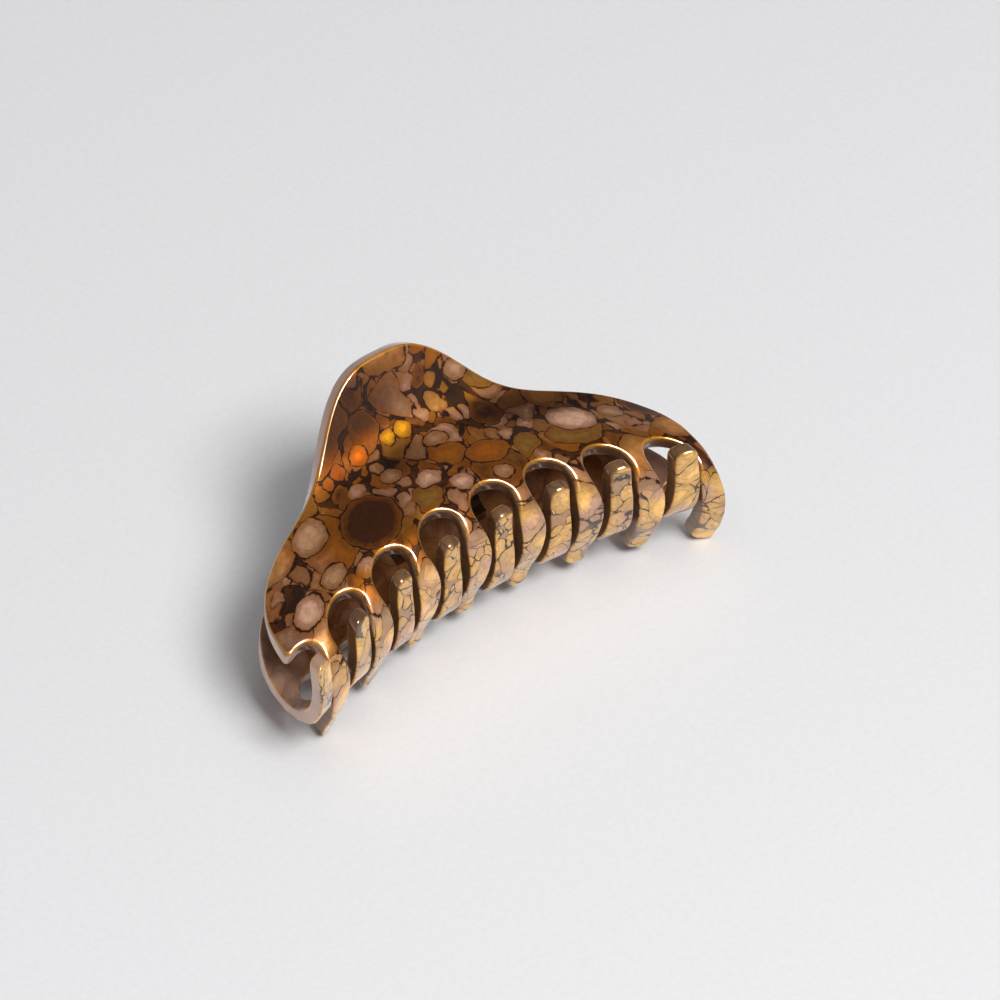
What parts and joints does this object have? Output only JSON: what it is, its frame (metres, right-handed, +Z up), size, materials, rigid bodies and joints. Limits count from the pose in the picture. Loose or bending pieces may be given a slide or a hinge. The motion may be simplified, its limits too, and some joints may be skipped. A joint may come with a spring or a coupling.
{
  "type": "claw clip",
  "caption": "Claw clip that gathers and grips hair between two curved, interlocking toothed jaws on a sprung hinge.",
  "frame": {"origin": "under the middle of the closed clip, at the height of the surface it lies on", "axes": "+X along the hinge, +Y from the teeth towards the handles, +Z up, from the lower jaw to the upper jaw"},
  "size_m": [0.094, 0.0544, 0.044],
  "materials": {
    "acetate": "polished tortoiseshell acetate",
    "lug_acetate": "polished dark brown acetate",
    "steel": "bright plated",
    "spring_steel": "bright drawn wire"
  },
  "bodies": {
    "lower": {"lower_jaw": "acetate", "lower_lug_right": "lug_acetate", "lower_lug_left": "lug_acetate", "hinge_pin": "steel", "pin_cap_right": "steel", "pin_cap_left": "steel", "torsion_spring": "spring_steel"},
    "upper": {"upper_jaw": "acetate", "upper_lug_right": "lug_acetate", "upper_lug_left": "lug_acetate"}
  },
  "joints": [
    {"name": "jaw_opening", "type": "hinge", "parent": "lower", "child": "upper", "pos_m": [0, 0.00594, 0.01914], "axis": [-1, 0, 0], "range_deg": [0, 80], "stiffness_Nm_per_rad": 0.12, "springref_deg": -40.11, "deforming": ["torsion_spring"]}
  ]
}
